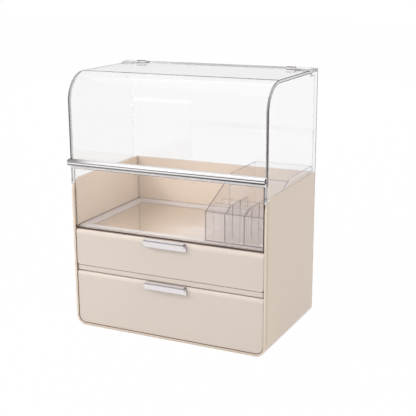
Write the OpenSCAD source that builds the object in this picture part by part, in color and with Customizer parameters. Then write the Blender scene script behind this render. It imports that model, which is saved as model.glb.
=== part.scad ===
// Dustproof makeup organizer: a cream two-drawer cabinet with a clear display space on top,
// closed by a clear hinged canopy. Millimetres, +Z up, front towards -Y.
// The origin is under the middle of the part's overall box, bar included, on the table.

/* [Overall] */
// Width of the cabinet and the canopy
body_w = 300; // [260:1:340]
// Depth of the cabinet, without the handles and the canopy bar
body_d = 190; // [170:1:230]
// Height of the cream cabinet's side and back walls
body_h = 220; // [215:1:240]
// Height of the canopy's flat top
total_h = 370; // [340:1:400]

/* [Cabinet] */
// Thickness of the cabinet's side walls and floor
wall = 3; // [2.5:0.1:4]
// Thickness of the cabinet's back wall
back_wall = 4; // [3.6:0.1:5]
// Radius of the cabinet's bottom edges, seen from the front
bottom_r = 14; // [8:0.5:20]
// Radius of the side walls' top front corners, seen from the side
side_corner_r = 18; // [10:0.5:24]
// Radius of the upright rear corners
rear_corner_r = 4; // [2:0.5:8]
// Height that the foot pads hold the cabinet off the table
pad_h = 0.6; // [0.4:0.1:2]
// Length of one foot pad
pad_l = 24; // [12:1:40]
// Width of one foot pad
pad_w = 12; // [8:1:20]
// Radius of a foot pad's corners
pad_r = 3; // [1:0.5:4]
// Distance from the cabinet's sides and ends to the foot pads' centres
pad_inset = 34; // [28:1:60]
// Height of the ledges that carry the two shelves
ledge_h = 1.8; // [1.5:0.1:3]
// Reach of the ledges and of the baffle's ribs from the side walls
ledge_w = 2.4; // [1.5:0.1:4]
// Distance from the drawer fronts' backs to the ledges' front ends
ledge_setback = 5; // [3:0.5:12]
// Depth of the ribs behind the baffle's upright edges
rib_d = 2; // [1:0.5:4]
// Distance from the walls' top down to the ribs' upper ends
rib_drop = 15; // [12:0.5:40]

/* [Shelves] */
// Height of the mid shelf's top face, on which the upper drawer slides
mid_top = 92.6; // [80:0.1:110]
// Height of the mid shelf's front rail
mid_rail_h = 7.3; // [5:0.1:12]
// Thickness of the mid shelf's rail and skirts
mid_skirt = 2; // [1.5:0.1:3]
// Distance of the mid shelf's rail behind the drawer fronts
mid_setback = 0.6; // [0:0.1:4]
// Radius of the mid shelf's front corners, seen from above
mid_corner_r = 3; // [1:0.1:5]
// Height of the deck shelf's top face, under the display space
deck_top = 147.8; // [140:0.1:160]
// Distance from the upper drawer front's back to the deck shelf
shelf_setback = 1; // [0.5:0.1:2]
// Thickness of both shelf plates
shelf_t = 2.5; // [2:0.1:4]

/* [Display space] */
// Distance of the clear baffle behind the cabinet's front edge
baffle_setback = 2.5; // [2:0.1:4]
// Gap between the clear baffle's top edge and the level of the canopy front's lower edge
baffle_drop = 1.4; // [0.8:0.1:10]
// Thickness of the clear baffle
baffle_t = 3; // [2:0.1:4]
// Gap beside the clear baffle's upright edges
baffle_side_gap = 0.9; // [0.3:0.1:1.2]
// Depth of the baffle's foot, which lies on the deck shelf
baffle_foot = 8; // [6:0.1:12]
// Thickness of the baffle's foot
foot_t = 2; // [1.2:0.1:3]
// Height of the deck tray's rim above the deck shelf
tray_rim_h = 3.3; // [2.5:0.1:6]
// Width of the deck tray's rim at the sides and the back
tray_rim_w = 16; // [8:0.5:24]
// Width of the deck tray's front rim
tray_front_w = 9; // [6:0.5:16]
// Radius of the deck tray's recess corners
tray_r = 9; // [4:0.5:16]
// Thickness of the deck tray's floor
tray_floor = 1.3; // [1:0.1:2]

/* [Compartment box] */
// Distance from the cabinet's right wall to the compartment box
box_side = 4.4; // [0.5:0.1:12]
// Width of the compartment box
box_w = 86.4; // [60:0.1:88]
// Height of the box's front wall
box_front_h = 41; // [30:0.5:60]
// Height of the box's tall rear section
box_rear_h = 77.5; // [60:0.5:90]
// Distance from the box's front to the tall partition
box_cells_d = 78; // [60:0.5:100]
// Distance that the box's sloping edge runs on past the tall partition
box_slope_past = 8; // [4:0.5:12]
// Height of the grid inside the box
grid_h = 47.5; // [35:0.5:60]
// Depth of the slope at the front of the grid
grid_slope_d = 18; // [8:0.5:24]
// Wall thickness of the compartment box and its grid
box_wall = 1.6; // [1.2:0.1:2.4]
// Columns of cells
columns = 3; // [2:1:5]
// Rows of cells
rows = 3; // [2:1:5]

/* [Drawers] */
// Distance of the drawer fronts behind the cabinet's front edge
front_setback = 1.5; // [0:0.1:4]
// Thickness of a drawer front
front_t = 5; // [4:0.1:8]
// Radius along the drawer fronts' top edge
front_edge_r = 4.2; // [2:0.1:4.8]
// Radius of the upper drawer front's lower corners
front_corner_r = 4; // [2:0.1:6]
// Radius of the drawer fronts' upper corners
front_top_r = 2; // [1:0.1:4]
// Gap around a drawer front
front_gap = 0.7; // [0.4:0.1:1.5]
// Thickness of the drawer boxes' walls and floor
drawer_wall = 2; // [1.5:0.1:3]
// Gap between a drawer box and what surrounds it
drawer_gap = 0.5; // [0.3:0.1:1]
// Free height above each drawer box's rim
drawer_headroom = 1.4; // [1:0.1:6]
// Drop from a drawer box's rim to the handle's screws
screw_drop = 5; // [4:0.1:8]
// Gap behind a closed drawer
drawer_back_gap = 1.5; // [1:0.1:6]

/* [Handles] */
// Length of a chrome handle
handle_l = 64; // [40:1:90]
// Reach of a handle in front of the drawer front
handle_reach = 8; // [6:0.1:12]
// Height of a handle's front lip
handle_lip_h = 8.4; // [6:0.1:12]
// Height of a handle's screwed flange
handle_flange_h = 12; // [10:0.1:16]
// Thickness of a handle's sheet
handle_t = 1.4; // [1:0.1:2]
// Radius of a handle's front edge
handle_edge_r = 2.6; // [1.6:0.1:3]
// Radius of a handle's lip corners
handle_corner_r = 3.6; // [2:0.1:4]
// Drop from the drawer front's top to the handle's top
handle_drop = 0.8; // [0:0.1:3]
// Distance between a handle's two screws
screw_spacing = 40; // [25:1:60]
// Radius of a handle screw's shank
screw_r = 1.4; // [1:0.1:1.6]
// Radius of a handle screw's head
screw_head_r = 2.8; // [2:0.1:4]
// Height of a handle screw's head
screw_head_h = 1.6; // [1:0.1:2.4]

/* [Canopy] */
// Thickness of the curved canopy sheet
sheet_t = 4; // [3:0.1:5]
// Thickness of the canopy's side panels and of the rear panel
panel_t = 3.5; // [2.5:0.1:3.9]
// Outer radius of the curve between the canopy's front and top
canopy_r = 40; // [25:0.5:60]
// Height of the canopy front's lower edge above the cabinet's walls
canopy_rise = 17; // [15:0.1:25]
// Reach of the side panels' tips below the top of the cabinet's walls
tip_drop = 7; // [4:0.5:12]
// Distance from the cabinet's back to the rear panel's front flanges
rear_side_d = 15; // [10:0.5:20]
// Distance from the cabinet's back to the rear panel's top lip
rear_top_d = 28; // [24:0.5:40]
// Depth of the rear panel's end skirts below its top
rear_skirt_h = 8; // [6:0.5:12]
// Depth of the rear panel's tongue in the cabinet's back wall
tongue_h = 6; // [4:0.5:12]
// Thickness of that tongue
tongue_t = 1; // [0.8:0.1:1.4]
// Distance from the rear panel's flanges to the tongue's ends
tongue_inset = 6; // [3:0.5:20]
// Rise of the side panels' lower edges at the rear, which clears the walls as the canopy lifts
rear_rise = 0.9; // [0.6:0.1:3]
// Gap between the canopy and the parts that it closes against
canopy_gap = 0.5; // [0.4:0.1:1]

/* [Canopy bar] */
// Height of the chrome bar's lower face above the canopy front's lower edge
bar_rise = 4; // [1:0.1:12]
// Height of the chrome bar
bar_h = 9.2; // [7:0.1:12]
// Depth of the chrome bar
bar_d = 9; // [7:0.1:12]
// Radius of the chrome bar's front edges
bar_r = 3; // [1.5:0.1:4]
// Wall thickness of the chrome bar
bar_wall = 1.2; // [0.8:0.1:2]
// Distance of the bar's ends inside the cabinet's width
bar_inset = 0.2; // [0.1:0.1:2]
// Length of a bar end cap
cap_l = 3; // [2:0.1:6]
// Depth of the end caps inside the bar
cap_inset = 0.4; // [0.1:0.1:1]

/* [Hinges] */
// Height of the hinge axis above the canopy's top
hinge_rise = 0.8; // [0:0.1:1.5]
// Outer radius of the hinge barrels
barrel_r = 3.2; // [2.8:0.1:3.2]
// Distance of the hinges' outer ends inside the canopy's width
hinge_inset = 0.2; // [0.1:0.1:4]
// Length of one hinge
hinge_l = 36; // [28:1:50]
// Length of the fixed barrel, the inner part of a hinge
fixed_barrel_l = 14; // [10:0.5:20]
// Thickness of a hinge leaf
leaf_t = 1.6; // [1.2:0.1:2.4]
// Reach of a hinge leaf from the axis
leaf_d = 12; // [8:0.5:16]
// Radius of a hinge pin
pin_r = 1.2; // [1:0.05:1.6]
// Distance from a hinge's inner end to the end of its pin
pin_l = 22; // [18:0.5:26]
// Radial clearance of the pins in the canopy's barrels
pin_clear = 0.05; // [0.02:0.01:0.1]

/* [Hidden] */
$fn = 48;

eps = 1;                                   // overshoot of a cut past a face
seat_gap = 0.1;                            // at pieces that are glued or clipped in place
lift_gap = 0.3;                            // around pieces that lift out
screw_clear = 0.1;                         // radial, in the drawer fronts and boxes
thread_clear = 0.02;                       // radial, in the handles' flanges
press_clear = 0.01;                        // radial, where a pin is pressed in
cream = [0.87, 0.80, 0.75];
cream_light = [0.90, 0.84, 0.80];
clear = [0.93, 0.93, 0.95, 0.35];
chrome = [0.80, 0.81, 0.83];
dark = [0.20, 0.18, 0.18];

half_w = body_w / 2;
front_y = -(body_d + bar_d) / 2 + bar_d;   // the cabinet's front edge
back_y = front_y + body_d;                 // the cabinet's back face
inner_x = half_w - wall;
inner_back = back_y - back_wall;
floor_top = pad_h + wall;
inner_bottom_r = bottom_r - wall;

// Shelves and their ledges
mid_low = mid_top - mid_rail_h;
deck_low = deck_top - shelf_t;
shelf_front = front_y + front_setback + front_t + shelf_setback;
ledge_front = front_y + front_setback + front_t + ledge_setback;

// Levels of the canopy's front
canopy_low = body_h + canopy_rise;
tip_z = body_h - tip_drop;
bar_z = canopy_low + bar_rise;

// Baffle
baffle_top = canopy_low - baffle_drop;
baffle_front = front_y + baffle_setback;
baffle_back = baffle_front + baffle_t;
baffle_x = inner_x - baffle_side_gap;

// Deck tray
tray_front = baffle_front + baffle_foot + lift_gap;
tray_back = inner_back - lift_gap;
tray_x = inner_x - lift_gap;
tray_rim_t = 1.6;

// Compartment box, which stands on the tray's rim
box_z = deck_top + tray_rim_h + seat_gap;
box_left = inner_x - box_side - box_w;
box_front = tray_front + lift_gap;
box_back = tray_back - lift_gap;
slope = (box_rear_h - box_front_h) / (box_cells_d + box_slope_past);
cell_w = (box_w - box_wall) / columns;
cell_d = (box_cells_d - box_wall) / rows;
grid_clear = 0.15;

// Drawers: heights of each opening's floor and ceiling
face_y = front_y + front_setback;
box_face_y = face_y + front_t;
lower_front = [floor_top + front_gap, mid_low - front_gap];
upper_front = [mid_top + front_gap, deck_top - front_gap];
lower_box = [floor_top + drawer_gap, mid_low - ledge_h - drawer_headroom];
upper_box = [mid_top + drawer_gap, deck_low - ledge_h - drawer_headroom];
drawer_back = inner_back - drawer_back_gap;

// Canopy
lip_front = back_y - rear_top_d;
hinge_y = lip_front - barrel_r - lift_gap;
hinge_z = total_h + hinge_rise;
sheet_back = hinge_y - barrel_r - lift_gap;
panel_in = half_w - panel_t;
side_back = back_y - rear_side_d - canopy_gap;
rear_low = body_h + seat_gap;
tongue_x = panel_in - tongue_inset;
tongue_y = inner_back + (back_wall - tongue_t) / 2;
barrel_out = half_w - hinge_inset;
barrel_in = barrel_out - hinge_l;
joint_x = barrel_in + fixed_barrel_l;
barrel_gap = 0.4;                          // between the two barrels of a hinge
pin_inset = 0.6;                           // of the pin's inner end
pin_end_gap = 2;                           // past the pin's outer end, in its blind bore

// ---------------------------------------------------------------- shared shapes

// One square corner less its inscribed quarter circle
module corner_waste(x, y, r, turn) {
    if (r > 0)
        translate([x, y]) rotate(turn) difference() {
            translate([-eps, -eps]) square(r + eps);
            translate([r, r]) circle(r);
        }
}

// Rectangle from two corners, each corner with its own radius
module slab(low, high, bl = 0, br = 0, tr = 0, tl = 0) {
    difference() {
        translate(low) square(high - low);
        corner_waste(low[0], low[1], bl, 0);
        corner_waste(high[0], low[1], br, 90);
        corner_waste(high[0], high[1], tr, 180);
        corner_waste(low[0], high[1], tl, 270);
    }
}

// Extrudes a front view (X, Z) from y0 to y1
module along_y(y0, y1) {
    translate([0, y1, 0]) rotate([90, 0, 0]) linear_extrude(y1 - y0) children();
}

// Extrudes a side view (Y, Z) from x0 to x1
module along_x(x0, x1) {
    translate([x0, 0, 0]) rotate([90, 0, 90]) linear_extrude(x1 - x0) children();
}

module block(low, high) {
    translate(low) cube(high - low);
}

// Cylinder along X from x0 to x1 at (y, z)
module rod_x(x0, x1, y, z, r) {
    translate([x0, y, z]) rotate([0, 90, 0]) cylinder(r = r, h = x1 - x0);
}

// Left and right copies of a piece drawn at the right
module both_sides() {
    children();
    mirror([1, 0, 0]) children();
}

// ---------------------------------------------------------------- cabinet

// The outline shared by the cabinet and the rear panel, seen from above
module footprint(h0, h1) {
    translate([0, 0, h0]) linear_extrude(h1 - h0)
        slab([-half_w, front_y], [half_w, back_y], tr = rear_corner_r, tl = rear_corner_r);
}

// Side view of the cabinet's side walls, grown by g
module side_view(g) {
    slab([front_y - g, pad_h], [back_y + g, body_h + g], tl = side_corner_r + g);
}

module cabinet_shell() {
    color(cream) {
        difference() {
            intersection() {
                along_y(front_y, back_y)
                    slab([-half_w, pad_h], [half_w, body_h], bl = bottom_r, br = bottom_r);
                along_x(-half_w, half_w) side_view(0);
                footprint(pad_h, body_h);
            }
            along_y(front_y - eps, inner_back)
                slab([-inner_x, floor_top], [inner_x, body_h + eps],
                     bl = inner_bottom_r, br = inner_bottom_r);
            // groove for the rear panel's tongue
            block([-tongue_x - seat_gap, tongue_y - seat_gap, body_h - tongue_h - seat_gap],
                  [tongue_x + seat_gap, tongue_y + tongue_t + seat_gap, body_h + eps]);
        }
        both_sides() {
            // ledges under the mid shelf and the deck shelf
            for (top = [mid_low, deck_low])
                block([inner_x - ledge_w, ledge_front, top - seat_gap - ledge_h],
                      [inner_x + eps, inner_back, top - seat_gap]);
            // rib behind the baffle's upright edge
            block([inner_x - ledge_w, baffle_back + seat_gap, deck_top + seat_gap],
                  [inner_x + eps, baffle_back + seat_gap + rib_d, body_h - rib_drop]);
        }
    }
}

module mid_shelf() {
    x = inner_x - seat_gap;
    front = face_y + mid_setback;
    color(cream_light) difference() {
        translate([0, 0, mid_low]) linear_extrude(mid_rail_h)
            slab([-x, front], [x, inner_back - seat_gap], bl = mid_corner_r, br = mid_corner_r);
        block([-x + mid_skirt, front + mid_skirt, mid_low - eps],
              [x - mid_skirt, inner_back - seat_gap - mid_skirt, mid_top - shelf_t]);
    }
}

module deck_shelf() {
    x = inner_x - seat_gap;
    color(cream_light)
        block([-x, shelf_front, deck_low], [x, inner_back - seat_gap, deck_top]);
}

module foot_pads() {
    color(dark)
        for (x = [-1, 1], y = [front_y + pad_inset, back_y - pad_inset])
            translate([x * (half_w - pad_inset), y, 0])
                linear_extrude(pad_h)
                    slab([-pad_l / 2, -pad_w / 2], [pad_l / 2, pad_w / 2],
                         bl = pad_r, br = pad_r, tr = pad_r, tl = pad_r);
}

// ---------------------------------------------------------------- display space

module front_baffle() {
    color(clear) {
        block([-baffle_x, baffle_front, deck_top + seat_gap], [baffle_x, baffle_back, baffle_top]);
        block([-baffle_x + ledge_w, baffle_back - eps, deck_top + seat_gap],
              [baffle_x - ledge_w, baffle_front + baffle_foot, deck_top + seat_gap + foot_t]);
    }
}

module deck_tray() {
    rim_top = deck_top + tray_rim_h;
    recess_low = [-tray_x + tray_rim_w, tray_front + tray_front_w];
    recess_high = [tray_x - tray_rim_w, tray_back - tray_rim_w];
    color(clear) difference() {
        block([-tray_x, tray_front, deck_top + seat_gap], [tray_x, tray_back, rim_top]);
        // recess in the top
        translate([0, 0, deck_top + seat_gap + tray_floor]) linear_extrude(tray_rim_h)
            slab(recess_low, recess_high, bl = tray_r, br = tray_r, tr = tray_r, tl = tray_r);
        // the rim is hollow underneath
        difference() {
            block([-tray_x + tray_rim_t, tray_front + tray_rim_t, deck_top],
                  [tray_x - tray_rim_t, tray_back - tray_rim_t, rim_top - tray_rim_t]);
            translate([0, 0, deck_top - eps]) linear_extrude(tray_rim_h + 2 * eps)
                slab(recess_low - [tray_rim_t, tray_rim_t], recess_high + [tray_rim_t, tray_rim_t],
                     bl = tray_r, br = tray_r, tr = tray_r, tl = tray_r);
        }
    }
}

// Side view of the box's sloping outline, from the front wall to the level rear
module box_outline() {
    polygon([
        [box_front, box_z],
        [box_front, box_z + box_front_h],
        [box_front + (box_rear_h - box_front_h) / slope, box_z + box_rear_h],
        [box_back, box_z + box_rear_h],
        [box_back, box_z]
    ]);
}

module compartment_box() {
    x0 = box_left;
    x1 = box_left + box_w;
    partition = box_front + box_cells_d;
    color(clear) difference() {
        along_x(x0, x1) box_outline();
        block([x0 + box_wall, box_front + box_wall, box_z + box_wall],
              [x1 - box_wall, partition, box_z + box_rear_h + eps]);
        block([x0 + box_wall, partition + box_wall, box_z + box_wall],
              [x1 - box_wall, box_back - box_wall, box_z + box_rear_h + eps]);
    }
}

// The lattice that drops into the front of the box
module compartment_grid() {
    x0 = box_left + box_wall + grid_clear;
    x1 = box_left + box_w - box_wall - grid_clear;
    y0 = box_front + box_wall + grid_clear;
    y1 = box_front + box_cells_d - grid_clear;
    z0 = box_z + box_wall + seat_gap;
    z1 = box_z + grid_h;
    color(clear) {
        for (i = [1 : columns - 1])
            along_x(box_left + i * cell_w, box_left + i * cell_w + box_wall)
                polygon([[y0, z0], [y0, z1 - grid_slope_d * slope], [y0 + grid_slope_d, z1],
                         [y1, z1], [y1, z0]]);
        for (j = [1 : rows - 1])
            block([x0, box_front + j * cell_d, z0], [x1, box_front + j * cell_d + box_wall, z1]);
    }
}

// ---------------------------------------------------------------- drawers

// Open-topped drawer box between the heights zs, with radius r on its lower long edges
module drawer_box(zs, r) {
    x = inner_x - drawer_gap;
    inner_r = max(r - drawer_wall, 0);
    color(cream_light) difference() {
        along_y(box_face_y, drawer_back) slab([-x, zs[0]], [x, zs[1]], bl = r, br = r);
        along_y(box_face_y + drawer_wall, drawer_back - drawer_wall)
            slab([-x + drawer_wall, zs[0] + drawer_wall], [x - drawer_wall, zs[1] + eps],
                 bl = inner_r, br = inner_r);
        handle_screw_holes(zs);
    }
}

// Front panel between the heights zs, with its top edge rounded towards the front
module drawer_front(zs, bottom_corner, screw_zs) {
    x = inner_x - front_gap;
    color(cream_light) difference() {
        intersection() {
            along_y(face_y, box_face_y)
                slab([-x, zs[0]], [x, zs[1]], bl = bottom_corner, br = bottom_corner,
                     tr = front_top_r, tl = front_top_r);
            along_x(-x, x) slab([face_y, zs[0]], [box_face_y, zs[1]], tl = front_edge_r);
        }
        handle_screw_holes(screw_zs);
    }
}

// Height of a handle's screws, from the heights of its drawer box
function screw_z(zs) = zs[1] - screw_drop;

// Cylinders along Y from y0 to y1, one on each of a handle's two screws
module on_screws(zs, y0, y1, r) {
    for (x = [-1, 1] * screw_spacing / 2)
        translate([x, y1, screw_z(zs)]) rotate([90, 0, 0]) cylinder(r = r, h = y1 - y0);
}

module handle_screw_holes(zs) {
    on_screws(zs, face_y - eps, box_face_y + drawer_wall + eps, screw_r + screw_clear);
}

// Hooked chrome handle: a screwed flange, a top plate and a front lip
module handle(front_zs, box_zs) {
    top = front_zs[1] - handle_drop;
    y0 = face_y - handle_reach;
    color(chrome) difference() {
        intersection() {
            union() {
                along_x(-handle_l / 2, handle_l / 2) difference() {
                    slab([y0, top - handle_lip_h], [face_y, top], tl = handle_edge_r);
                    slab([y0 + handle_t, top - handle_lip_h - eps],
                         [face_y - handle_t, top - handle_t], tl = handle_edge_r - handle_t);
                }
                block([-handle_l / 2, face_y - handle_t, top - handle_flange_h],
                      [handle_l / 2, face_y, top]);
            }
            along_y(y0 - eps, face_y + eps)
                slab([-handle_l / 2, top - handle_flange_h - eps], [handle_l / 2, top],
                     tr = handle_corner_r, tl = handle_corner_r);
        }
        // the lip's lower corners are rounded too
        along_y(y0 - eps, face_y - handle_t - eps / 2) {
            corner_waste(-handle_l / 2, top - handle_lip_h, handle_corner_r, 0);
            corner_waste(handle_l / 2, top - handle_lip_h, handle_corner_r, 90);
        }
        on_screws(box_zs, face_y - handle_t - eps, face_y + eps, screw_r + thread_clear);
    }
}

// The two screws of one handle, driven from inside the drawer box
module handle_screws(zs) {
    head_y = box_face_y + drawer_wall;
    color(chrome) {
        on_screws(zs, head_y, head_y + screw_head_h, screw_head_r);
        on_screws(zs, face_y - handle_t, head_y + screw_head_h, screw_r);
    }
}

module upper_drawer_box() { drawer_box(upper_box, 1); }
module lower_drawer_box() { drawer_box(lower_box, inner_bottom_r - drawer_gap); }
module upper_drawer_front() { drawer_front(upper_front, front_corner_r, upper_box); }
module lower_drawer_front() { drawer_front(lower_front, inner_bottom_r - front_gap, lower_box); }
module upper_handle() { handle(upper_front, upper_box); }
module lower_handle() { handle(lower_front, lower_box); }
module upper_handle_screws() { handle_screws(upper_box); }
module lower_handle_screws() { handle_screws(lower_box); }

// ---------------------------------------------------------------- canopy

// Curved sheet: the canopy's front, its rounded shoulder and its top
module canopy_sheet() {
    color(clear) difference() {
        along_x(-half_w, half_w) difference() {
            slab([front_y, canopy_low], [lip_front - canopy_gap, total_h], tl = canopy_r);
            slab([front_y + sheet_t, canopy_low - eps], [lip_front + eps, total_h - sheet_t],
                 tl = canopy_r - sheet_t);
        }
        // the rear edge steps back round the hinges
        both_sides()
            block([barrel_in - canopy_gap, sheet_back, canopy_low],
                  [half_w + eps, lip_front + eps, total_h + eps]);
    }
}

// Side panel: fills the curved sheet's profile and follows the cabinet's side wall below
module canopy_side() {
    low = body_h + canopy_gap;
    notch_z = total_h - rear_skirt_h - canopy_gap;
    along_x(panel_in, half_w) difference() {
        union() {
            slab([front_y + sheet_t, low], [sheet_back, total_h - sheet_t],
                 tl = canopy_r - sheet_t);
            translate([front_y, tip_z]) square([sheet_t + side_corner_r, canopy_low - tip_z]);
            polygon([[sheet_back - eps, low], [hinge_y, low], [side_back, low + rear_rise],
                     [side_back, notch_z], [sheet_back - eps, notch_z]]);
        }
        side_view(canopy_gap);
    }
}

module canopy_side_left() { color(clear) mirror([1, 0, 0]) canopy_side(); }
module canopy_side_right() { color(clear) canopy_side(); }

module canopy_bar() {
    bar_x = half_w - bar_inset;
    color(chrome) along_x(-bar_x, bar_x) difference() {
        slab([front_y - bar_d, bar_z], [front_y, bar_z + bar_h], bl = bar_r, tl = bar_r);
        slab([front_y - bar_d + bar_wall, bar_z + bar_wall],
             [front_y - bar_wall, bar_z + bar_h - bar_wall],
             bl = bar_r - bar_wall, tl = bar_r - bar_wall);
    }
}

module bar_cap() {
    cap_out = half_w - bar_inset - cap_inset;
    edge = bar_wall + press_clear;
    along_x(cap_out - cap_l, cap_out)
        slab([front_y - bar_d + edge, bar_z + edge], [front_y - edge, bar_z + bar_h - edge],
             bl = bar_r - edge, tl = bar_r - edge);
}

module bar_cap_left() { color(dark) mirror([1, 0, 0]) bar_cap(); }
module bar_cap_right() { color(dark) bar_cap(); }

module rear_panel() {
    color(clear) {
        intersection() {
            difference() {
                block([-half_w, lip_front, rear_low], [half_w, back_y, total_h]);
                block([-panel_in, lip_front - eps, rear_low - eps],
                      [panel_in, back_y - panel_t, total_h - sheet_t]);
                // the end skirts stop short below the top lip
                block([-half_w - eps, lip_front - eps, rear_low - eps],
                      [half_w + eps, back_y - rear_side_d, total_h - rear_skirt_h]);
            }
            footprint(rear_low, total_h);
        }
        // tongue that stands in the cabinet's back wall
        block([-tongue_x, tongue_y, body_h - tongue_h],
              [tongue_x, tongue_y + tongue_t, rear_low + eps]);
    }
}

// ---------------------------------------------------------------- hinges

// Barrel and leaf between x0 and x1; the leaf reaches along Y in the direction side
module hinge_half(x0, x1, side) {
    rod_x(x0, x1, hinge_y, hinge_z, barrel_r);
    y_end = hinge_y + side * leaf_d;
    block([x0, min(hinge_y, y_end), total_h], [x1, max(hinge_y, y_end), total_h + leaf_t]);
}

module canopy_hinge() {
    difference() {
        hinge_half(joint_x + barrel_gap, barrel_out, -1);
        rod_x(joint_x, barrel_in + pin_l + pin_end_gap, hinge_y, hinge_z, pin_r + pin_clear);
    }
}

module rear_hinge() {
    difference() {
        hinge_half(barrel_in, joint_x, 1);
        rod_x(barrel_in - eps, joint_x + eps, hinge_y, hinge_z, pin_r + press_clear);
    }
}

module hinge_pin() {
    rod_x(barrel_in + pin_inset, barrel_in + pin_l, hinge_y, hinge_z, pin_r);
}

module canopy_hinge_left() { color(clear) mirror([1, 0, 0]) canopy_hinge(); }
module canopy_hinge_right() { color(clear) canopy_hinge(); }
module rear_hinge_left() { color(clear) mirror([1, 0, 0]) rear_hinge(); }
module rear_hinge_right() { color(clear) rear_hinge(); }
module hinge_pin_left() { color(dark) mirror([1, 0, 0]) hinge_pin(); }
module hinge_pin_right() { color(dark) hinge_pin(); }

// ---------------------------------------------------------------- assembly

cabinet_shell();
mid_shelf();
deck_shelf();
foot_pads();
front_baffle();
deck_tray();
rear_panel();
upper_drawer_box();
upper_drawer_front();
upper_handle();
upper_handle_screws();
lower_drawer_box();
lower_drawer_front();
lower_handle();
lower_handle_screws();
canopy_sheet();
canopy_side_left();
canopy_side_right();
canopy_bar();
bar_cap_left();
bar_cap_right();
canopy_hinge_left();
canopy_hinge_right();
rear_hinge_left();
rear_hinge_right();
hinge_pin_left();
hinge_pin_right();
compartment_box();
compartment_grid();
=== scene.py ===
# Dressed model of the clear-topped makeup organizer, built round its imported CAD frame.
import math

import bpy
from mathutils import Matrix, Vector


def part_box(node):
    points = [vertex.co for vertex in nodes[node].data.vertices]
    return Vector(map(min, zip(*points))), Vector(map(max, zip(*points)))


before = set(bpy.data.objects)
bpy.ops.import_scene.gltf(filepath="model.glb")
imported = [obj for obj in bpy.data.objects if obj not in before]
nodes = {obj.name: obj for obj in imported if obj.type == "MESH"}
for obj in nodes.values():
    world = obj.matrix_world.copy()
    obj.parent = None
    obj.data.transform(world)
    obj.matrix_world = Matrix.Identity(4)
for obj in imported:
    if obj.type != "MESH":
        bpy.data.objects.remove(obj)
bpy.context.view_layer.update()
mm = 0.001
white = (1.0, 1.0, 1.0)
margin = 1.0               # mm past a piece's own faces, so that a band takes them in
noiseRange = (0.25, 0.75)  # noise hardly leaves it
print("frame loaded:", len(nodes), "nodes")


def span(name, axis):
    # where a CAD node begins and ends along an axis, in mm
    low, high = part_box(name)
    number = "XYZ".index(axis)
    return low[number] / mm, high[number] / mm


# shader helpers

def newMaterial(name):
    material = bpy.data.materials.new(name)
    material.use_nodes = True
    material.node_tree.nodes.clear()
    return material, material.node_tree


def addNode(tree, kind, inputs=None, **settings):
    # each input gets a plain value, or a link where the value is another node's socket
    node = tree.nodes.new(kind)
    for key, value in settings.items():
        setattr(node, key, value)
    for key, value in (inputs or {}).items():
        socket = node.inputs[key]
        if isinstance(value, bpy.types.NodeSocket):
            tree.links.new(value, socket)
        else:
            socket.default_value = (*value, 1.0) if socket.type == "RGBA" else value
    return node


def finishMaterial(tree, surface):
    return addNode(tree, "ShaderNodeOutputMaterial", {"Surface": surface})


def calculate(tree, operation, *values):
    return addNode(tree, "ShaderNodeMath", dict(enumerate(values)), operation=operation).outputs[0]


def remap(tree, source, before=(0.0, 1.0), after=(0.0, 1.0)):
    fit = addNode(tree, "ShaderNodeMapRange", {
        "Value": source, "From Min": before[0], "From Max": before[1], "To Min": after[0], "To Max": after[1],
    })
    return fit.outputs["Result"]


def objectPlace(tree):
    place = addNode(tree, "ShaderNodeTexCoord").outputs["Object"]
    return addNode(tree, "ShaderNodeSeparateXYZ", {0: place}).outputs


def ramp(tree, source, stops, unit=1.0):
    # a grey for each value of the source, from pairs of value and tone
    low, high = stops[0][0], stops[-1][0]
    bands = addNode(tree, "ShaderNodeValToRGB", {0: remap(tree, source, (low * unit, high * unit))})
    points = bands.color_ramp.elements
    while len(points) < len(stops):
        points.new(0.5)
    for point, (place, tone) in zip(points, stops):
        point.position = (place - low) / (high - low)
        point.color = (tone, tone, tone, 1.0)
    return bands.outputs["Color"]


def toneAlong(tree, axis, stops):
    # a grey for each place along an axis, from pairs of mm and tone
    return ramp(tree, objectPlace(tree)[axis], stops, mm)


def within(tree, source, low, high):
    # 1 between two values in mm, and 0 beyond them
    return calculate(tree, "COMPARE", source, (low + high) / 2 * mm, (high - low) / 2 * mm)


def between(tree, axis, low, high, inside=1.0, outside=0.0):
    # one share between two places along an axis, in mm, and another beyond them
    return remap(tree, within(tree, objectPlace(tree)[axis], low, high), after=(outside, inside))


def noiseField(tree, scale, detail=2.0, squeeze=None):
    # object-space noise, so that the pattern stays on the piece as it moves
    place = addNode(tree, "ShaderNodeTexCoord").outputs["Object"]
    if squeeze:
        place = addNode(tree, "ShaderNodeMapping", {"Vector": place, "Scale": squeeze}).outputs[0]
    noise = addNode(tree, "ShaderNodeTexNoise", {"Vector": place, "Scale": scale, "Detail": detail})
    return noise.outputs["Fac"]


def spread(tree, field, limits):
    return remap(tree, field, noiseRange, limits)


def blendColour(tree, share, first, second, kind="MIX"):
    inputs = {"Factor": share, "A": first, "B": second}
    return addNode(tree, "ShaderNodeMix", inputs, data_type="RGBA", blend_type=kind).outputs["Result"]


def multiply(tree, first, second):
    return blendColour(tree, 1.0, first, second, "MULTIPLY")


def mixShader(tree, share, first, second):
    return addNode(tree, "ShaderNodeMixShader", {0: share, 1: first, 2: second}).outputs[0]


# cream plastic

creamLook = {
    "unevenness": 0.03,
    "unevennessScale": 9.0,
    "index": 1.5,
    "roughness": (0.20, 0.265),
    "roughnessScale": 30.0,
    "peelHeight": 0.006,
    "peelScale": 120.0,
    # painted shade: gaps and inner corners are darkened by how open the place is
    "gapSamples": 6,
    "gapRange": (0.25, 0.85),  # how open the place is where it is darkest, and where it is no longer darkened
    "gapShadeTone": (0.26, 0.19, 0.155),
}


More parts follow.
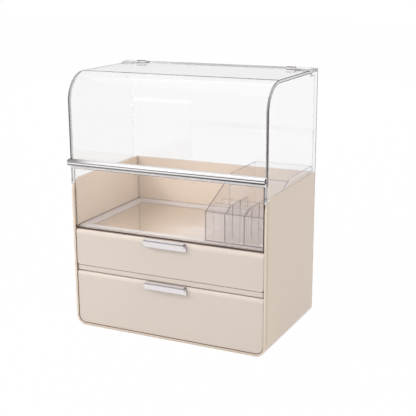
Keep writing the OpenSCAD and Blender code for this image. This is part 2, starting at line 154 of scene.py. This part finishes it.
def gapField(tree, reach, ownOnly=False):
    # how open the place is, for the painted shade in gaps and inner corners; reach is how far that painted
    # shade darkens, in mm
    settings = {"samples": creamLook["gapSamples"], "only_local": ownOnly}
    return addNode(tree, "ShaderNodeAmbientOcclusion", {"Distance": reach * mm}, **settings).outputs["AO"]


def gapShade(tree, field):
    return blendColour(tree, remap(tree, field, creamLook["gapRange"]), creamLook["gapShadeTone"], white)


def creamTone(tree, colour, shades=()):
    dull = [c * (1 - creamLook["unevenness"]) for c in colour]
    tone = blendColour(tree, noiseField(tree, creamLook["unevennessScale"]), dull, colour)
    for shade in shades:
        tone = multiply(tree, tone, shade(tree))
    return tone


def orangePeel(tree):
    height = noiseField(tree, creamLook["peelScale"])
    inputs = {"Strength": creamLook["peelHeight"], "Distance": mm, "Height": height}
    return addNode(tree, "ShaderNodeBump", inputs).outputs["Normal"]


def makeCream(name, look, *shades):
    material, tree = newMaterial(name)
    body = addNode(tree, "ShaderNodeBsdfPrincipled", {
        "Base Color": creamTone(tree, look["colour"], shades),
        "IOR": creamLook["index"],
        "Specular IOR Level": look["gloss"],
        "Roughness": spread(tree, noiseField(tree, creamLook["roughnessScale"]), creamLook["roughness"]),
        "Normal": orangePeel(tree),
    })
    finishMaterial(tree, body.outputs["BSDF"])
    return material


drawerLook = {
    "colour": (0.735, 0.645, 0.575),
    "gloss": 0.5,
    "gapShadeReach": 2.6,           # mm
    # painted highlight along the top edge of each drawer front
    "topHighlightBand": (7.5, 6.0),     # mm below a drawer front's top edge where it gets lighter
    "topHighlightTone": (1.12, 1.18),
}


# painted shade in the gaps and corners of the drawers
def drawerGapShade(tree):
    return gapShade(tree, gapField(tree, drawerLook["gapShadeReach"]))


def makeFront(level):
    top = span(level + "_drawer_front", "Z")[1]
    # painted highlight: each front is lighter towards its top edge
    start, end = (top - drop for drop in drawerLook["topHighlightBand"])
    lower, upper = drawerLook["topHighlightTone"]
    stops = [(start, 1.0), (end, lower), (top, upper)]
    return makeCream(level + "FrontCream", drawerLook, drawerGapShade, lambda tree: toneAlong(tree, "Z", stops))


shellLook = {
    "colour": (0.82, 0.68, 0.56),
    "gloss": 0.3,
    "gapShadeReach": 4.5,           # mm
    "clearAbove": (1.0, 1.2),  # mm above the tray, from where clear pieces close by don't darken the walls
    # painted shade just behind the front edges, where the baffle stands: mm behind the front, and tone
    "frontShadeBands": [(0.0, 1.0), (1.0, 1.0), (2.0, 0.84), (6.0, 0.88), (9.0, 1.0)],
    "rearFace": (8.0, 1.2),    # mm before the outside of the rear wall, between which its inside lies
    # painted shade: the inside of the rear wall is darker towards its top
    "rearShadeTone": [(170.0, 1.0), (190.0, 0.97), (205.0, 0.91), (240.0, 0.89)],  # height in mm, and tone there
}


# painted shade in the shell's gaps and inner corners; above the tray only the shell's own faces cast it
def shellGapShade(tree):
    start, end = (span("deck_tray", "Z")[1] + height for height in shellLook["clearAbove"])
    fields = {
        "Factor": toneAlong(tree, "Z", [(start, 0.0), (end, 1.0)]),
        "A": gapField(tree, shellLook["gapShadeReach"]),
        "B": gapField(tree, shellLook["gapShadeReach"], True),
    }
    return gapShade(tree, addNode(tree, "ShaderNodeMix", fields, data_type="FLOAT").outputs["Result"])


def shellFrontShade(tree):
    front = span("cabinet_shell", "Y")[0]
    return toneAlong(tree, "Y", [(front + depth, tone) for depth, tone in shellLook["frontShadeBands"]])


# painted shade on the inside of the rear wall, darker towards its top
def shellRearShade(tree):
    start, end = (span("cabinet_shell", "Y")[1] - depth for depth in shellLook["rearFace"])
    inside = between(tree, "Y", start, end)
    return blendColour(tree, inside, white, toneAlong(tree, "Z", shellLook["rearShadeTone"]))


deckLook = {
    # painted shade: the deck is darker and browner than the other cream, standing in for the shade that falls
    # on it
    "colour": (0.60, 0.475, 0.355),
    "index": 1.75,
    "roughness": 0.16,
    # painted shade on the deck's front edge, which lies in the gap before it
    "frontShadeDepth": 1.0,          # mm of the front edge that lie in the dark of the gap before it
    "frontShadeTone": 0.07,
    "gloss": (0.03, 0.5),      # at the front edge, and behind it
}


def makeDeck():
    material, tree = newMaterial("deckCream")
    front = span("deck_shelf", "Y")[0]
    behind = front + deckLook["frontShadeDepth"]
    low, high = deckLook["gloss"]
    # painted shade along the front edge
    frontShade = toneAlong(tree, "Y", [(front, deckLook["frontShadeTone"]), (behind, 1.0)])
    body = addNode(tree, "ShaderNodeBsdfPrincipled", {
        "Base Color": multiply(tree, creamTone(tree, deckLook["colour"]), frontShade),
        "IOR": deckLook["index"],
        "Specular IOR Level": toneAlong(tree, "Y", [(front, low), (behind, high)]),
        "Roughness": deckLook["roughness"],
        "Normal": orangePeel(tree),
    })
    finishMaterial(tree, body.outputs["BSDF"])
    return material


shellCream = makeCream("shellCream", shellLook, shellGapShade, shellFrontShade, shellRearShade)
deckCream = makeDeck()
drawerCream = makeCream("drawerCream", drawerLook, drawerGapShade)
frontCream = {level: makeFront(level) for level in ("upper", "lower")}
print("cream plastic made")


# clear plastic: tone and density (per metre) darken only long paths such as the edges, kept is the share
# that each surface lets through, and haze is the tone of a milky share that paints light and reflections

clearLook = {
    "index": 1.49,
    "tone": (0.79, 0.74, 0.76),
    "haze": (0.85, 0.815, 0.825),
    # painted shade on the dark edges of clear pieces
    "edgeShadeTone": (0.060, 0.038, 0.034),
    "edgeRoughness": 0.35,
    "edgeGloss": 0.1,
}


def clearSurface(tree, kept):
    inputs = {"Color": kept, "Roughness": 0.0, "IOR": clearLook["index"]}
    return addNode(tree, "ShaderNodeBsdfGlass", inputs).outputs[0]


def passLamps(tree, surface, unseen=None):
    # clear pieces bend and mirror what is seen through them, and let the lamps' light straight through
    through = addNode(tree, "ShaderNodeBsdfTransparent").outputs[0]
    path = addNode(tree, "ShaderNodeLightPath").outputs
    for share in (unseen, path["Is Diffuse Ray"], path["Is Shadow Ray"]):
        if share is not None:
            surface = mixShader(tree, share, surface, through)
    return surface


def makeClear(name, look, haze=None, darkEdge=None, fade=None):
    # haze, darkEdge and fade give the share that is hazy, dark or unseen at each place; the hazy share is
    # painted light and reflection, and the dark share is painted shade
    material, tree = newMaterial(name)
    surface = clearSurface(tree, look["kept"])
    if haze:
        # painted light: a milky share that the lamps light like a matte surface
        milk = addNode(tree, "ShaderNodeBsdfDiffuse", {"Color": look["haze"]}).outputs[0]
        surface = mixShader(tree, haze(tree), surface, milk)
    # painted shade on the dark edges
    if darkEdge:
        dark = addNode(tree, "ShaderNodeBsdfPrincipled", {
            "Base Color": clearLook["edgeShadeTone"],
            "Roughness": clearLook["edgeRoughness"],
            "Specular IOR Level": clearLook["edgeGloss"],
        })
        surface = mixShader(tree, darkEdge(tree), surface, dark.outputs[0])
    output = finishMaterial(tree, passLamps(tree, surface, fade(tree) if fade else None))
    plastic = addNode(tree, "ShaderNodeVolumeAbsorption", {"Color": look["tone"], "Density": look["density"]})
    tree.links.new(plastic.outputs[0], output.inputs["Volume"])
    return material


baffleLook = {
    "tone": clearLook["tone"],
    "density": 16.0,
    "kept": (0.993, 0.994, 0.995),
    # painted shade in dark lines along the baffle's ends and lower edge
    "edges": (0.9, 1.6, 2.0),  # mm of dark edge at the left, at the right and at the bottom
    "skin": 0.45,              # mm of the front that these lines are drawn on
}


# painted shade along the baffle's ends and lower edge
def baffleEdgeShade(tree):
    leftWide, rightWide, tall = baffleLook["edges"]
    left, right = span("front_baffle", "X")
    front = span("front_baffle", "Y")[0]
    bottom, top = span("front_baffle", "Z")
    sides = between(tree, "X", left + leftWide, right - rightWide, 0.0, 1.0)
    low = between(tree, "Z", bottom + tall, top + margin, 0.0, 1.0)
    face = between(tree, "Y", front - margin, front + baffleLook["skin"])
    return calculate(tree, "MULTIPLY", calculate(tree, "MAXIMUM", sides, low), face)


trayLook = {
    "tone": (0.80, 0.72, 0.68),
    "density": 14.0,
    "kept": (0.992, 0.988, 0.986),
    "haze": clearLook["haze"],
    # painted shade in dark lines along the tray's sides
    "edge": 1.3,               # mm of dark edge at the sides
    # painted light: the rim is lighter, as a share of haze
    "rim": (16.0, 9.0),        # mm of rim at the sides and back, and at the front
    "rimLightShare": 0.45,
    # painted reflection in the recess, as a share of haze by x in mm: most beside the box, where the room
    # mirrors in the tray
    "recess": [
        (-400.0, 0.0), (-40.0, 0.0), (0.0, 0.16), (20.0, 0.26), (50.0, 0.26), (60.0, 0.06), (400.0, 0.06),
    ],
    "depth": [(-80.0, 1.0), (10.0, 0.8), (95.0, 0.25)],  # y in mm, and how much of that haze there is
    # painted streaks in that reflection
    "streakScale": 9.0,
    "streakDetail": 3.0,
    "streakSqueeze": (1.0, 7.0, 1.0),
    "streakReflection": (0.45, 1.35),
}


# painted shade along the tray's sides
def trayEdgeShade(tree):
    left, right = span("deck_tray", "X")
    return between(tree, "X", left + trayLook["edge"], right - trayLook["edge"], 0.0, 1.0)


# painted light on the rim and painted reflection in the recess, both as a milky share
def trayPaintedLight(tree):
    rim, frontRim = trayLook["rim"]
    left, right = span("deck_tray", "X")
    front, back = span("deck_tray", "Y")
    sides = between(tree, "X", left + rim, right - rim, 0.0, trayLook["rimLightShare"])
    ends = between(tree, "Y", front + frontRim, back - rim, 0.0, trayLook["rimLightShare"])
    streaks = noiseField(tree, trayLook["streakScale"], trayLook["streakDetail"], trayLook["streakSqueeze"])
    recess = toneAlong(tree, "X", trayLook["recess"])
    recess = calculate(tree, "MULTIPLY", recess, toneAlong(tree, "Y", trayLook["depth"]))
    recess = calculate(tree, "MULTIPLY", recess, spread(tree, streaks, trayLook["streakReflection"]))
    return calculate(tree, "MAXIMUM", calculate(tree, "MAXIMUM", sides, ends), recess)


sheetLook = {
    "tone": clearLook["tone"],
    "density": 2.0,
    "kept": (0.983, 0.983, 0.984),
    # tone of the painted light on the pale lip and of the painted highlight on the cut ends
    "haze": (0.985, 0.965, 0.97),
    "bend": 40.0,              # mm of outer radius
    "thick": 4.0,              # mm
    # painted shade in a dark line along the lower edge under the bar, and painted light on the pale lip above
    # it
    "lip": (0.3, 4.0),         # mm above the lower edge where its dark line and its pale lip end
    "lipDark": 0.3,
    "lipLight": 0.9,
    "line": 0.8,               # mm of the dark lines round the cut ends
    # by height in mm, the share of painted shade on a cut end's outer corner, on its inner corner and on the
    # face between them, and the share of that face that is a painted highlight
    "outerDark": [(0.0, 0.8), (334.0, 0.75), (350.0, 0.1), (362.0, 0.1), (370.0, 0.9), (400.0, 0.9)],
    "innerDark": [(0.0, 0.8), (334.0, 0.7), (350.0, 0.5), (400.0, 0.7)],
    "faceDark": [(0.0, 0.75), (325.0, 0.75), (350.0, 0.0), (400.0, 0.0)],
    "faceHighlight": [(0.0, 0.0), (340.0, 0.0), (362.0, 0.85), (400.0, 0.85)],
}


def sheetDepth(tree):
    # how far a place lies below the sheet's outer skin, all along its front, bend and top
    bend = sheetLook["bend"]
    place = objectPlace(tree)
    before = calculate(tree, "SUBTRACT", (span("canopy_sheet", "Y")[0] + bend) * mm, place["Y"])
    above = calculate(tree, "SUBTRACT", place["Z"], (span("canopy_sheet", "Z")[1] - bend) * mm)
    legs = {number: calculate(tree, "MAXIMUM", leg, 0.0) for number, leg in enumerate((before, above))}
    reach = addNode(tree, "ShaderNodeCombineXYZ", legs).outputs[0]
    length = addNode(tree, "ShaderNodeVectorMath", {0: reach}, operation="LENGTH").outputs["Value"]
    return calculate(tree, "SUBTRACT", bend * mm, length)


def sheetBand(tree, near, far, shares):
    # a band of the sheet's two cut ends, between two depths in mm, with a share by height
    left, right = span("canopy_sheet", "X")
    band = within(tree, sheetDepth(tree), near, far)
    band = calculate(tree, "MULTIPLY", band, toneAlong(tree, "Z", shares))
    ends = between(tree, "X", left + sheetLook["line"], right - sheetLook["line"], 0.0, 1.0)
    return calculate(tree, "MULTIPLY", band, ends)


def sheetFace(tree, shares):
    return sheetBand(tree, sheetLook["line"], sheetLook["thick"] - sheetLook["line"], shares)


# painted light on the pale lip under the bar, and a painted highlight on the cut ends near the top
def sheetPaintedLight(tree):
    low, high = (span("canopy_sheet", "Z")[0] + height for height in sheetLook["lip"])
    lip = between(tree, "Z", low, high, sheetLook["lipLight"])
    return calculate(tree, "MAXIMUM", lip, sheetFace(tree, sheetLook["faceHighlight"]))


# painted shade in dark lines along the lower edge and the cut ends
def sheetEdgeShade(tree):
    low = span("canopy_sheet", "Z")[0]
    thick, line = sheetLook["thick"], sheetLook["line"]
    lip = between(tree, "Z", low - margin, low + sheetLook["lip"][0], sheetLook["lipDark"])
    outer = sheetBand(tree, -margin, line, sheetLook["outerDark"])
    inner = sheetBand(tree, thick - line, thick + margin, sheetLook["innerDark"])
    face = sheetFace(tree, sheetLook["faceDark"])
    lines = calculate(tree, "MAXIMUM", lip, outer)
    return calculate(tree, "MAXIMUM", lines, calculate(tree, "MAXIMUM", inner, face))


rearLook = {
    "tone": clearLook["tone"],
    "density": 7.0,
    "kept": (0.989, 0.990, 0.990),
    "skin": 0.4,               # mm of a polished end that fade
    "wall": 4.5,               # mm from the left that a side wall's end reaches
    "unseen": 0.85,
}

sideLook = {
    "tone": clearLook["tone"],
    "density": 2.0,
    "kept": (0.980, 0.980, 0.980),
}


def cornerFade(tree):
    # the polished ends of the walls at the rear left corner barely show
    skin, unseen = rearLook["skin"], rearLook["unseen"]
    left, back = span("rear_panel", "X")[0], span("rear_panel", "Y")[1]
    sideBack = span("canopy_side_left", "Y")[1]
    panelX = between(tree, "X", left - margin, left + skin, unseen)
    panelY = between(tree, "Y", sideBack + skin, back + margin)
    sideX = between(tree, "X", left - margin, left + rearLook["wall"], unseen)
    sideY = between(tree, "Y", sideBack - skin, sideBack + skin)
    panel = calculate(tree, "MULTIPLY", panelX, panelY)
    return calculate(tree, "MAXIMUM", panel, calculate(tree, "MULTIPLY", sideX, sideY))


boxLook = {
    "tone": clearLook["tone"],
    "density": 22.0,
    "kept": (0.995, 0.994, 0.996),
    "haze": clearLook["haze"],
    # painted light: an even milky share that lightens the box
    "hazeShare": 0.045,
    # painted shade on the dark cut edges of the box walls
    "rimShadeTone": (0.12, 0.08, 0.075),  # of the walls' cut edges
    "rimShare": 0.85,
    "rimRoughness": 0.3,
    "rimWidth": 2.6,           # mm, the widest face that is such an edge
}


def makeBoxRimShade():
    material, tree = newMaterial("boxRimShade")
    inputs = {"Base Color": boxLook["rimShadeTone"], "Roughness": boxLook["rimRoughness"]}
    dark = addNode(tree, "ShaderNodeBsdfPrincipled", inputs).outputs[0]
    surface = mixShader(tree, boxLook["rimShare"], clearSurface(tree, white), dark)
    finishMaterial(tree, passLamps(tree, surface))
    return material


canopyClear = makeClear("canopyClear", rearLook, fade=cornerFade)
sideClear = makeClear("sideClear", sideLook, fade=cornerFade)
sheetClear = makeClear("sheetClear", sheetLook, sheetPaintedLight, sheetEdgeShade)
baffleClear = makeClear("baffleClear", baffleLook, darkEdge=baffleEdgeShade)
trayClear = makeClear("trayClear", trayLook, trayPaintedLight, trayEdgeShade)
boxClear = makeClear("boxClear", boxLook, lambda tree: boxLook["hazeShare"])
boxRimShade = makeBoxRimShade()
print("clear plastic made")


# metal and small parts

metalGrain = 60.0  # scale of the noise in any metal's roughness

barLook = {
    "colour": (0.93, 0.915, 0.92),
    "roughness": (0.07, 0.12),
    # painted reflection bands: mm above the bar's lower edge, and how light the metal is there
    "bands": [
        (0.0, 0.95), (0.5, 0.95), (0.9, 0.07), (2.3, 0.08), (2.9, 0.22), (3.3, 0.98), (4.5, 1.0),
        (4.8, 0.16), (5.8, 0.16), (6.2, 0.93), (8.0, 1.0), (9.0, 1.0), (9.2, 0.70),
    ],
    # x in mm, and how much paler the painted reflection bands are there
    "paler": [(-150.0, 0.18), (-30.0, 0.18), (115.0, 0.0), (150.0, 0.0)],
    # painted reflection: the left end is darker above this height
    "leftAbove": (6.1, 6.4),   # mm above the lower edge, from where the left end is darker
    "leftReflectionTone": [(-150.0, 0.28), (-136.0, 0.35), (-112.0, 0.93), (-100.0, 1.0)],  # x in mm, tone
    "back": (1.0, 0.5),        # mm before the back, where its plain face begins
    "backTone": (0.9, 0.9, 0.9),
}


# painted reflection bands across the chrome
def barReflectionTone(tree):
    bottom, back = span("canopy_bar", "Z")[0], span("canopy_bar", "Y")[1]
    shade = toneAlong(tree, "Z", [(bottom + height, tone) for height, tone in barLook["bands"]])
    shade = blendColour(tree, toneAlong(tree, "X", barLook["paler"]), shade, white)
    start, end = (bottom + height for height in barLook["leftAbove"])
    above = toneAlong(tree, "Z", [(start, 0.0), (end, 1.0)])
    shade = blendColour(tree, above, shade, multiply(tree, shade, toneAlong(tree, "X", barLook["leftReflectionTone"])))
    start, end = (back - depth for depth in barLook["back"])
    shade = blendColour(tree, toneAlong(tree, "Y", [(start, 0.0), (end, 1.0)]), shade, barLook["backTone"])
    return multiply(tree, barLook["colour"], shade)


handleLook = {
    "colour": (0.81, 0.765, 0.78),
    "roughness": (0.12, 0.18),
    # painted highlight and reflection: how far the metal faces up, from -1 to 1, then how light and how
    # metallic it is there
    "facing": [
        (-1.0, 0.7), (-0.3, 0.8), (-0.05, 1.0), (0.1, 0.95), (0.3, 0.40), (0.86, 0.45),
        (0.95, 1.1), (1.0, 1.1),
    ],
    "metal": [(-1.0, 1.0), (0.88, 1.0), (0.97, 0.1), (1.0, 0.1)],
}

smallLook = {
    # painted shade: the rounded edges of the handles are dark
    "handleEdgeShade": {"colour": (0.14, 0.13, 0.135), "roughness": (0.2, 0.3)},
    "screwSteel": {"colour": (0.80, 0.76, 0.77), "roughness": (0.35, 0.45)},
    "capPlastic": {"colour": (0.03, 0.028, 0.028), "roughness": 0.4, "grain": 300.0},
    "footFoam": {"colour": (0.05, 0.048, 0.046), "roughness": 0.9, "grain": 500.0},
    "grainStrength": 0.2,
    "grainHeight": 0.1,        # mm
}


def makeMetal(name, look, tone=None, metal=None):
    # tone and metal are functions that give the colour, and how metallic it is, at each place
    material, tree = newMaterial(name)
    body = addNode(tree, "ShaderNodeBsdfPrincipled", {
        "Base Color": tone(tree) if tone else look["colour"],
        "Metallic": metal(tree) if metal else 1.0,
        "Roughness": spread(tree, noiseField(tree, metalGrain), look["roughness"]),
    })
    finishMaterial(tree, body.outputs["BSDF"])
    return material


def facingUp(tree):
    normal = addNode(tree, "ShaderNodeNewGeometry").outputs["Normal"]
    return addNode(tree, "ShaderNodeSeparateXYZ", {0: normal}).outputs["Z"]


# painted highlight on the top faces and painted dark reflection on the rounded edges
def handleFacingLight(tree):
    return multiply(tree, handleLook["colour"], ramp(tree, facingUp(tree), handleLook["facing"]))


def handleMetal(tree):
    return ramp(tree, facingUp(tree), handleLook["metal"])


def makeDull(name):
    material, tree = newMaterial(name)
    look = smallLook[name]
    bump = addNode(tree, "ShaderNodeBump", {
        "Strength": smallLook["grainStrength"],
        "Distance": smallLook["grainHeight"] * mm,
        "Height": noiseField(tree, look["grain"]),
    })
    body = addNode(tree, "ShaderNodeBsdfPrincipled", {
        "Base Color": look["colour"], "Roughness": look["roughness"], "Normal": bump.outputs["Normal"],
    })
    finishMaterial(tree, body.outputs["BSDF"])
    return material


barChrome = makeMetal("barChrome", barLook, barReflectionTone)
handleChrome = makeMetal("handleChrome", handleLook, handleFacingLight, handleMetal)
handleEdgeShade = makeMetal("handleEdgeShade", smallLook["handleEdgeShade"])
screwSteel = makeMetal("screwSteel", smallLook["screwSteel"])
capPlastic = makeDull("capPlastic")
footFoam = makeDull("footFoam")
print("metal and small parts made")


# surfaces of the CAD nodes

surfaceLook = {
    "weld": 0.002,             # mm
    "flatAngle": 0.3,          # degrees, up to which faces are taken as one plane
    "edgeAngle": 40.0,         # degrees, from which an edge is rounded
    "segments": 2,
    "gap": 0.05,               # mm of air where a piece lies flat on another
}


def dress(name, material, rounding, gap=0.0, edgeMaterial=None):
    # rounding and gap are in mm
    piece = nodes[name]
    piece.data.materials.clear()
    piece.data.materials.append(material)
    weld = piece.modifiers.new("weld", "WELD")
    weld.merge_threshold = surfaceLook["weld"] * mm
    if gap:
        inset = piece.modifiers.new("inset", "DISPLACE")
        inset.mid_level = 0.0
        inset.strength = -gap * mm
    flat = piece.modifiers.new("flat", "DECIMATE")
    flat.decimate_type = "DISSOLVE"
    flat.angle_limit = math.radians(surfaceLook["flatAngle"])
    soft = piece.modifiers.new("soft", "BEVEL")
    soft.width = rounding * mm
    soft.segments = surfaceLook["segments"]
    soft.limit_method = "ANGLE"
    soft.angle_limit = math.radians(surfaceLook["edgeAngle"])
    if edgeMaterial:
        piece.data.materials.append(edgeMaterial)
        soft.material = 1
    shade = piece.modifiers.new("shade", "WEIGHTED_NORMAL")
    shade.keep_sharp = False


def markRims(name):
    # the narrow faces of the box and its lattice are the walls' cut edges, which get painted shade
    mesh = nodes[name].data
    mesh.materials.append(boxRimShade)
    for face in mesh.polygons:
        corners = [mesh.vertices[v].co for v in face.vertices]
        longest = max((a - b).length for a, b in zip(corners, corners[1:] + corners[:1]))
        if 2 * face.area / longest < boxLook["rimWidth"] * mm:
            face.material_index = 1


dress("cabinet_shell", shellCream, rounding=0.4)
dress("deck_shelf", deckCream, rounding=0.3)
dress("mid_shelf", drawerCream, rounding=0.4)
for level in ("upper", "lower"):
    dress(level + "_drawer_box", drawerCream, rounding=0.3)
    dress(level + "_drawer_front", frontCream[level], rounding=0.5)
    dress(level + "_handle", handleChrome, rounding=0.6, edgeMaterial=handleEdgeShade)
    dress(level + "_handle_screws", screwSteel, rounding=0.2)
dress("front_baffle", baffleClear, rounding=0.5)
dress("deck_tray", trayClear, rounding=0.3)
dress("rear_panel", canopyClear, rounding=0.4)
dress("canopy_sheet", sheetClear, rounding=0.6)
for side in ("left", "right"):
    dress("canopy_side_" + side, sideClear, rounding=0.4, gap=surfaceLook["gap"])
    dress("bar_cap_" + side, capPlastic, rounding=0.2)
    dress("canopy_hinge_" + side, canopyClear, rounding=0.2)
    dress("rear_hinge_" + side, canopyClear, rounding=0.2)
    dress("hinge_pin_" + side, screwSteel, rounding=0.2)
dress("canopy_bar", barChrome, rounding=0.2, gap=surfaceLook["gap"])
dress("foot_pads", footFoam, rounding=0.1)
for name in ("compartment_box", "compartment_grid"):
    dress(name, boxClear, rounding=0.25)
    markRims(name)
print("nodes dressed")


# stage and light, in metres

middle = (0.0, 0.0, 0.2)

stageLook = {
    "floorSize": 14.0,
    "floorGrey": (0.94, 0.94, 0.94),
    "floorWhite": 0.985,       # share of the floor that is plain white to the camera
    "ambient": 0.51,
    "lamps": {                 # place, aim, size and power
        "key": ((-1.05, -1.05, 1.25), middle, 0.3, 6.2),
        "frontFill": ((-0.9, -2.0, 1.35), middle, 1.3, 13.1),
        "sideFill": ((2.7, -1.2, 1.6), middle, 1.6, 16.0),
        "backFill": ((-1.2, 2.6, 1.5), middle, 1.6, 24.0),
        "deckFill": ((0.03, -0.055, 0.25), (-0.14, 0.06, 0.165), 0.05, 0.081),
    },
    "cards": {                 # tone and corners of the studio cards, which are seen only in mirrors
        "backCard": (0.30, [(-4.0, 3.0, 0.78), (4.0, 3.0, 0.78), (4.0, 3.0, 1.2), (-4.0, 3.0, 1.2)]),
        "topCard": (0.83, [(-4.0, 3.0, 0.3), (4.0, 3.0, 0.3), (4.0, 3.0, 0.78), (-4.0, 3.0, 0.78)]),
        # far in front: a soft streak in the canopy's front
        "streakCard": (2.3, [
            (-1.63, -2.5, 1.67), (-1.28, -2.5, 1.48), (-1.19, -2.5, 0.94), (-1.45, -2.5, 0.82),
        ]),
        # high overhead: a light band round the canopy's bend
        "glowCard": (1.55, [(-0.5, -1.75, 2.5), (-0.7, 2.4, 2.5), (-1.5, 0.5, 2.5), (-1.46, -0.6, 2.5)]),
    },
}


def seenDirectly(tree):
    # 1 for rays that come from the camera, a mirror or a clear piece
    path = addNode(tree, "ShaderNodeLightPath").outputs
    mirrored = calculate(tree, "MAXIMUM", path["Is Camera Ray"], path["Is Glossy Ray"])
    return calculate(tree, "MAXIMUM", mirrored, path["Is Transmission Ray"])


def makeWorld():
    world = bpy.data.worlds.new("studio")
    bpy.context.scene.world = world
    world.use_nodes = True
    tree = world.node_tree
    tree.nodes.clear()
    strength = remap(tree, seenDirectly(tree), after=(stageLook["ambient"], 1.0))
    background = addNode(tree, "ShaderNodeBackground", {"Color": white, "Strength": strength})
    addNode(tree, "ShaderNodeOutputWorld", {"Surface": background.outputs[0]})


def makePlane(name, corners):
    mesh = bpy.data.meshes.new(name)
    mesh.from_pydata(corners, [], [(0, 1, 2, 3)])
    piece = bpy.data.objects.new(name, mesh)
    bpy.context.scene.collection.objects.link(piece)
    material, tree = newMaterial(name)
    mesh.materials.append(material)
    return piece, tree


def makeFloor():
    half = stageLook["floorSize"] / 2
    _, tree = makePlane("floor", [(-half, -half, 0), (half, -half, 0), (half, half, 0), (-half, half, 0)])
    paint = addNode(tree, "ShaderNodeBsdfDiffuse", {"Color": stageLook["floorGrey"]})
    light = addNode(tree, "ShaderNodeEmission", {"Color": white})
    share = calculate(tree, "MULTIPLY", seenDirectly(tree), stageLook["floorWhite"])
    finishMaterial(tree, mixShader(tree, share, paint.outputs[0], light.outputs[0]))


def makeCard(name, corners, tone):
    card, tree = makePlane(name, corners)
    light = addNode(tree, "ShaderNodeEmission", {"Color": (tone, tone, tone)})
    finishMaterial(tree, light.outputs[0])
    card.visible_camera = card.visible_diffuse = card.visible_shadow = card.visible_transmission = False


def makeLamp(name, place, aim, size, power):
    data = bpy.data.lights.new(name, "AREA")
    data.shape = "DISK"
    data.size = size
    data.energy = power
    lamp = bpy.data.objects.new(name, data)
    bpy.context.scene.collection.objects.link(lamp)
    lamp.location = place
    lamp.visible_camera = lamp.visible_glossy = lamp.visible_transmission = False
    lamp.rotation_euler = (Vector(aim) - Vector(place)).to_track_quat("-Z", "Y").to_euler()


makeWorld()
makeFloor()
for name, (tone, corners) in stageLook["cards"].items():
    makeCard(name, corners, tone)
for name, (place, aim, size, power) in stageLook["lamps"].items():
    makeLamp(name, place, aim, size, power)
print("stage and lamps set")


# camera

cameraLook = {
    "azimuth": 26.581,         # degrees, round the object from the front
    "elevation": 15.455,       # degrees, above the horizon
    "roll": -0.496,            # degrees
    "place": (0.5876, -1.1721, 0.5153),  # metres
    "lens": 80.79,             # mm
    "sensor": 36.0,            # mm
    "shift": (0.0313, 0.0308),
    "clip": (0.05, 30.0),      # metres
    "bounces": 96,             # with few bounces, the edges of the clear pieces turn dark
    "clearBounces": 48,
}


def makeCamera():
    data = bpy.data.cameras.new("camera")
    data.sensor_width = cameraLook["sensor"]
    data.lens = cameraLook["lens"]
    data.shift_x, data.shift_y = cameraLook["shift"]
    data.clip_start, data.clip_end = cameraLook["clip"]
    camera = bpy.data.objects.new("camera", data)
    bpy.context.scene.collection.objects.link(camera)
    a, e, r = (math.radians(cameraLook[k]) for k in ("azimuth", "elevation", "roll"))
    back = Vector((math.sin(a) * math.cos(e), -math.cos(a) * math.cos(e), math.sin(e)))
    right = Vector((math.cos(a), math.sin(a), 0))
    up = back.cross(right)
    turnedRight = right * math.cos(r) + up * math.sin(r)
    turnedUp = up * math.cos(r) - right * math.sin(r)
    turn = Matrix((turnedRight, turnedUp, back)).transposed()
    camera.matrix_world = Matrix.Translation(cameraLook["place"]) @ turn.to_4x4()
    bpy.context.scene.camera = camera


makeCamera()
scene = bpy.context.scene
scene.view_settings.view_transform = "Standard"
scene.cycles.max_bounces = cameraLook["bounces"]
scene.cycles.transmission_bounces = cameraLook["bounces"]
scene.cycles.glossy_bounces = cameraLook["bounces"]
scene.cycles.transparent_max_bounces = cameraLook["clearBounces"]
print("camera set")
